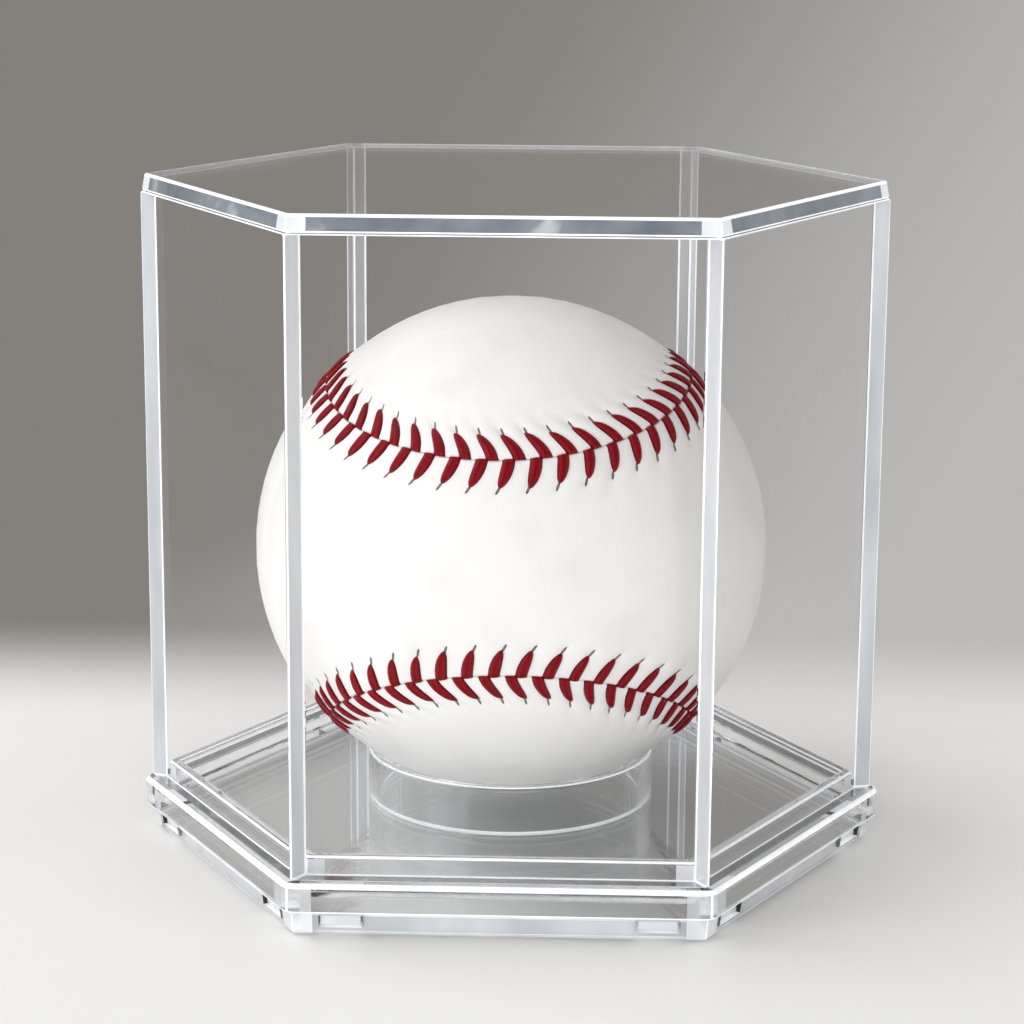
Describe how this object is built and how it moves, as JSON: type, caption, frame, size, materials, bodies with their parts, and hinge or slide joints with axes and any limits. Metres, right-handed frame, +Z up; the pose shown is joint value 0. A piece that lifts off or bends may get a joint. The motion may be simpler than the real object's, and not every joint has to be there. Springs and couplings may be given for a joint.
{
  "type": "ball display case",
  "caption": "Clear hexagonal acrylic display case with a lift-off cover, a stepped tray and a ring stand holding a stitched leather ball.",
  "frame": {"origin": "centre of the underside, on the surface that the case stands on", "axes": "+Z up, +X along the case's longest width from corner to corner, -Y out of the front face"},
  "size_m": [0.1114, 0.0924, 0.1001],
  "materials": {
    "clear_acrylic": "polished",
    "white_leather": "satin",
    "red_thread": "satin",
    "wound_core": "matte"
  },
  "bodies": {
    "base": {"base_tray": "clear_acrylic", "bottom_plate": "clear_acrylic"},
    "cover": {"top_plate": "clear_acrylic", "wall_front": "clear_acrylic", "wall_front_right": "clear_acrylic", "wall_back_right": "clear_acrylic", "wall_back": "clear_acrylic", "wall_back_left": "clear_acrylic", "wall_front_left": "clear_acrylic"},
    "ring": {"ball_ring": "clear_acrylic"},
    "ball": {"ball_core": "wound_core", "ball_leather_a": "white_leather", "ball_leather_b": "white_leather", "ball_stitching": "red_thread"}
  },
  "joints": [
    {"name": "cover_lift", "type": "slide", "parent": "base", "child": "cover", "axis": [0, 0, 1], "range_m": [0, 0.095]},
    {"name": "ring_lift", "type": "slide", "parent": "base", "child": "ring", "axis": [0, 0, 1], "range_m": [0, 0.014]},
    {"name": "ball_turn", "type": "hinge", "parent": "ring", "child": "ball", "pos_m": [0, 0, 0.0453], "axis": [0, 0, 1], "continuous": true}
  ]
}
